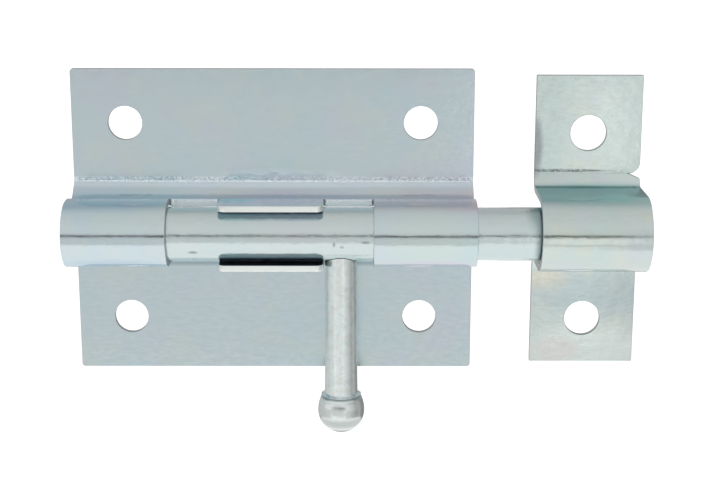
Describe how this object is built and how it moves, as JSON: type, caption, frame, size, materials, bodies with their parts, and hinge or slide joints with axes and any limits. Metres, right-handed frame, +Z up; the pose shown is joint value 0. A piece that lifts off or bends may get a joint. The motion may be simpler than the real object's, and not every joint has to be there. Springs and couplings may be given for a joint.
{
  "type": "stable door bolt",
  "caption": "Sliding bolt for a stable door: a round rod with a ball-ended drop handle runs in a pressed base plate and shoots into a bent strap keep.",
  "frame": {"origin": "middle of the base plate's back face, level with the rod's centre line", "axes": "+X along the rod, the way it shoots; +Y into the door; +Z up"},
  "size_m": [0.1417, 0.0238, 0.0895],
  "materials": {
    "zinc_sheet": "bright zinc plated sheet, satin, faintly blue-green with lilac and straw tints",
    "zinc_bar": "bright zinc plated bar, satin"
  },
  "bodies": {
    "base": {"base_plate": "zinc_sheet", "keep": "zinc_sheet"},
    "bolt": {"bolt_rod": "zinc_bar"},
    "handle": {"handle": "zinc_bar"}
  },
  "joints": [
    {"name": "bolt_slide", "type": "slide", "parent": "base", "child": "bolt", "axis": [1, 0, 0], "range_m": [-0.0002, 0.0039]},
    {"name": "handle_turn", "type": "hinge", "parent": "bolt", "child": "handle", "pos_m": [0.017, -0.015, 0], "axis": [-1, 0, 0], "range_deg": [0, 180]}
  ]
}
